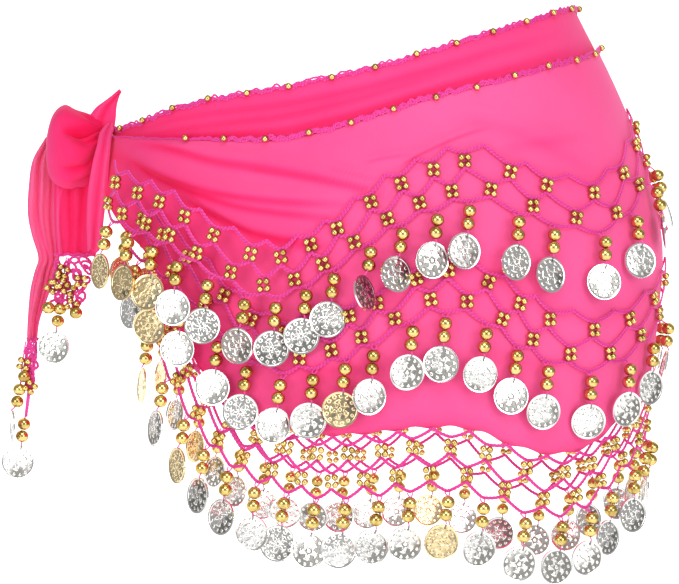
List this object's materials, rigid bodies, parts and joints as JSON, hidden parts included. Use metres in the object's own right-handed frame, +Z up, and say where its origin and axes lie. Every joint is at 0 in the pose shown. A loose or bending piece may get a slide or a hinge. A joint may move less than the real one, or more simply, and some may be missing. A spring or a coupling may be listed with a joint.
{
  "type": "coin hip scarf",
  "caption": "Chiffon hip scarf worn round the hips and tied at one side, with two crocheted top edges and swagged tiers of crocheted net hung with beads and coins.",
  "frame": {"origin": "middle of the waist opening, at the height where the wearer's hips hold the scarf up", "axes": "+Z up, +X towards the wearer's left hip, which is the far side from the knot, and -Y towards the wearer's front"},
  "size_m": [0.4096, 0.2998, 0.344],
  "materials": {
    "chiffon": "thin, soft, slightly sheer chiffon",
    "yarn": "crocheted magenta yarn",
    "beads_and_coins": "polished gold-coloured beads and bright stamped coins"
  },
  "bodies": {
    "root": {"outer_cloth": "chiffon", "inner_cloth": "chiffon", "knot": "chiffon", "knot_corner": "chiffon", "tie_strand": "chiffon", "front_tail": "chiffon", "long_tail": "chiffon", "top_edging": "yarn", "outer_edging": "yarn", "tier_1_net_front": "yarn", "tier_1_net_back": "yarn", "tier_2_net_front": "yarn", "tier_2_net_back": "yarn", "tier_3_net_front": "yarn", "tier_3_net_back": "yarn", "tier_1_coins_front": "beads_and_coins", "tier_1_coins_back": "beads_and_coins", "tier_2_coins_front": "beads_and_coins", "tier_2_coins_back": "beads_and_coins", "tier_3_coins_front": "beads_and_coins", "tier_3_coins_back": "beads_and_coins", "front_tail_coins": "beads_and_coins", "long_tail_coins": "beads_and_coins"}
  },
  "joints": []
}
